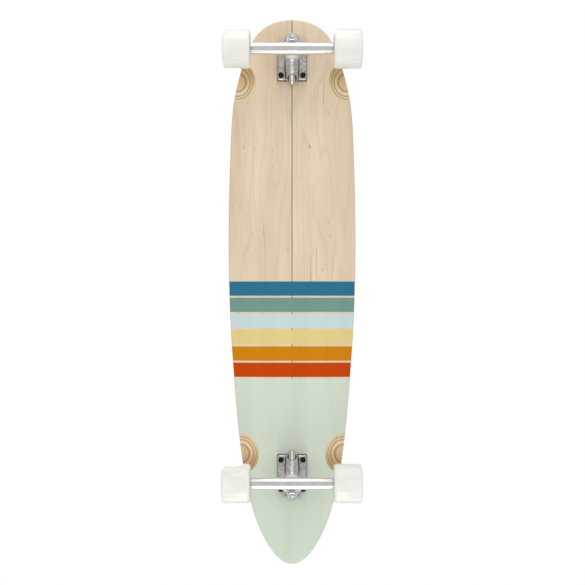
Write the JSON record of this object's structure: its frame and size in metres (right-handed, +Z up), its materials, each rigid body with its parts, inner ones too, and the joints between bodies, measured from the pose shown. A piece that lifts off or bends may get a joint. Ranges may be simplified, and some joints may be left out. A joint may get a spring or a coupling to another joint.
{
  "type": "longboard skateboard",
  "caption": "Pintail longboard with a maple deck, striped underside, sanded wheel wells, leaning trucks with sprung kingpins and soft white wheels.",
  "frame": {"origin": "on the floor under the middle of the deck's length and width", "axes": "+Z up, +Y from nose to tail along the board, +X to the left of a rider who faces the nose"},
  "size_m": [0.2508, 1.016, 0.1224],
  "materials": {
    "deck_wood": "clear-coated maple ply, striped and mint underside",
    "grip_tape": "coarse black abrasive sheet",
    "riser_pad": "matte black",
    "cast_aluminium": "bead-blasted casting",
    "polished_aluminium": "polished",
    "chrome_steel": "bright plated steel",
    "black_steel": "black oxide",
    "axle_steel": "zinc-plated steel",
    "bearing_steel": "ground steel",
    "bearing_shield": "pressed steel",
    "bearing_cage": "natural nylon",
    "pivot_cup": "moulded urethane",
    "bushing": "translucent urethane",
    "urethane": "white translucent urethane",
    "wheel_core": "white moulded plastic"
  },
  "bodies": {
    "deck": {"deck": "deck_wood", "grip_tape": "grip_tape", "front_riser_pad": "riser_pad", "front_baseplate": "cast_aluminium", "front_pivot_cup": "pivot_cup", "front_kingpin": "chrome_steel", "front_bushing_washers": "chrome_steel", "front_boardside_bushing": "bushing", "front_roadside_bushing": "bushing", "front_kingpin_nut": "chrome_steel", "front_mounting_bolts": "black_steel", "front_mounting_nuts": "black_steel", "rear_riser_pad": "riser_pad", "rear_baseplate": "cast_aluminium", "rear_pivot_cup": "pivot_cup", "rear_kingpin": "chrome_steel", "rear_bushing_washers": "chrome_steel", "rear_boardside_bushing": "bushing", "rear_roadside_bushing": "bushing", "rear_kingpin_nut": "chrome_steel", "rear_mounting_bolts": "black_steel", "rear_mounting_nuts": "black_steel"},
    "front_hanger": {"front_hanger": "polished_aluminium", "front_axle": "axle_steel", "front_axle_nuts": "axle_steel", "front_speed_washers": "axle_steel", "front_bearing_inner_races": "bearing_steel", "front_bearing_spacers": "axle_steel"},
    "front_left_wheel": {"front_left_tyre": "urethane", "front_left_core": "wheel_core", "front_left_bearing_outer_races": "bearing_steel", "front_left_bearing_shields": "bearing_shield"},
    "front_left_ball_train": {"front_left_bearing_balls": "bearing_steel", "front_left_bearing_cages": "bearing_cage"},
    "front_right_wheel": {"front_right_tyre": "urethane", "front_right_core": "wheel_core", "front_right_bearing_outer_races": "bearing_steel", "front_right_bearing_shields": "bearing_shield"},
    "front_right_ball_train": {"front_right_bearing_balls": "bearing_steel", "front_right_bearing_cages": "bearing_cage"},
    "rear_hanger": {"rear_hanger": "polished_aluminium", "rear_axle": "axle_steel", "rear_axle_nuts": "axle_steel", "rear_speed_washers": "axle_steel", "rear_bearing_inner_races": "bearing_steel", "rear_bearing_spacers": "axle_steel"},
    "rear_left_wheel": {"rear_left_tyre": "urethane", "rear_left_core": "wheel_core", "rear_left_bearing_outer_races": "bearing_steel", "rear_left_bearing_shields": "bearing_shield"},
    "rear_left_ball_train": {"rear_left_bearing_balls": "bearing_steel", "rear_left_bearing_cages": "bearing_cage"},
    "rear_right_wheel": {"rear_right_tyre": "urethane", "rear_right_core": "wheel_core", "rear_right_bearing_outer_races": "bearing_steel", "rear_right_bearing_shields": "bearing_shield"},
    "rear_right_ball_train": {"rear_right_bearing_balls": "bearing_steel", "rear_right_bearing_cages": "bearing_cage"}
  },
  "joints": [
    {"name": "front_lean", "type": "hinge", "parent": "deck", "child": "front_hanger", "pos_m": [0, -0.44338, 0.0541], "axis": [0, -0.6018, 0.7986], "range_deg": [-20, 20], "stiffness_Nm_per_rad": 60, "deforming": ["front_boardside_bushing", "front_roadside_bushing"]},
    {"name": "front_left_spin", "type": "hinge", "parent": "front_hanger", "child": "front_left_wheel", "pos_m": [0.10015, -0.4355, 0.035], "axis": [1, 0, 0], "continuous": true},
    {"name": "front_left_balls_roll", "type": "hinge", "parent": "front_hanger", "child": "front_left_ball_train", "pos_m": [0.10015, -0.4355, 0.035], "axis": [1, 0, 0], "continuous": true},
    {"name": "front_right_spin", "type": "hinge", "parent": "front_hanger", "child": "front_right_wheel", "pos_m": [-0.10015, -0.4355, 0.035], "axis": [1, 0, 0], "continuous": true},
    {"name": "front_right_balls_roll", "type": "hinge", "parent": "front_hanger", "child": "front_right_ball_train", "pos_m": [-0.10015, -0.4355, 0.035], "axis": [1, 0, 0], "continuous": true},
    {"name": "rear_lean", "type": "hinge", "parent": "deck", "child": "rear_hanger", "pos_m": [0, 0.35338, 0.0541], "axis": [0, 0.6018, 0.7986], "range_deg": [-20, 20], "stiffness_Nm_per_rad": 60, "deforming": ["rear_boardside_bushing", "rear_roadside_bushing"]},
    {"name": "rear_left_spin", "type": "hinge", "parent": "rear_hanger", "child": "rear_left_wheel", "pos_m": [0.10015, 0.3455, 0.035], "axis": [1, 0, 0], "continuous": true},
    {"name": "rear_left_balls_roll", "type": "hinge", "parent": "rear_hanger", "child": "rear_left_ball_train", "pos_m": [0.10015, 0.3455, 0.035], "axis": [1, 0, 0], "continuous": true},
    {"name": "rear_right_spin", "type": "hinge", "parent": "rear_hanger", "child": "rear_right_wheel", "pos_m": [-0.10015, 0.3455, 0.035], "axis": [1, 0, 0], "continuous": true},
    {"name": "rear_right_balls_roll", "type": "hinge", "parent": "rear_hanger", "child": "rear_right_ball_train", "pos_m": [-0.10015, 0.3455, 0.035], "axis": [1, 0, 0], "continuous": true}
  ],
  "couplings": [
    {"joint": "front_left_balls_roll", "follows": "front_left_spin", "ratio": 0.63113},
    {"joint": "front_right_balls_roll", "follows": "front_right_spin", "ratio": 0.63113},
    {"joint": "rear_left_balls_roll", "follows": "rear_left_spin", "ratio": 0.63113},
    {"joint": "rear_right_balls_roll", "follows": "rear_right_spin", "ratio": 0.63113}
  ]
}
